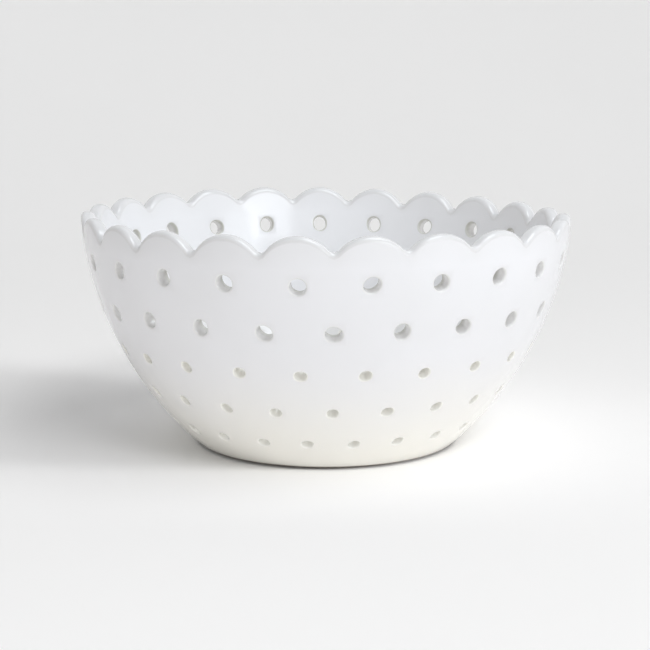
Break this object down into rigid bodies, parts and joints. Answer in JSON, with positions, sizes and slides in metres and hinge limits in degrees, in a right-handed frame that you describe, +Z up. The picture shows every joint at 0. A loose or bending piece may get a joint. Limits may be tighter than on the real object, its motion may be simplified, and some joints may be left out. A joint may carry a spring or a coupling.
{
  "type": "berry colander bowl",
  "caption": "Round white glazed stoneware colander bowl with a scalloped lip, staggered rows of drain holes and a low foot ring.",
  "frame": {"origin": "on the table under the middle of the bowl", "axes": "+Z up along the bowl's axis; -Y is the front, which faces the viewer of the picture"},
  "size_m": [0.2026, 0.2026, 0.098],
  "materials": {
    "white_glaze": "glossy white glaze over stoneware, a little thinner and warmer at the lip, hole edges and foot",
    "bare_stoneware": "unglazed fired stoneware, fine matt grain"
  },
  "bodies": {
    "root": {"bowl_body": "white_glaze", "foot_ring": "bare_stoneware"}
  },
  "joints": []
}
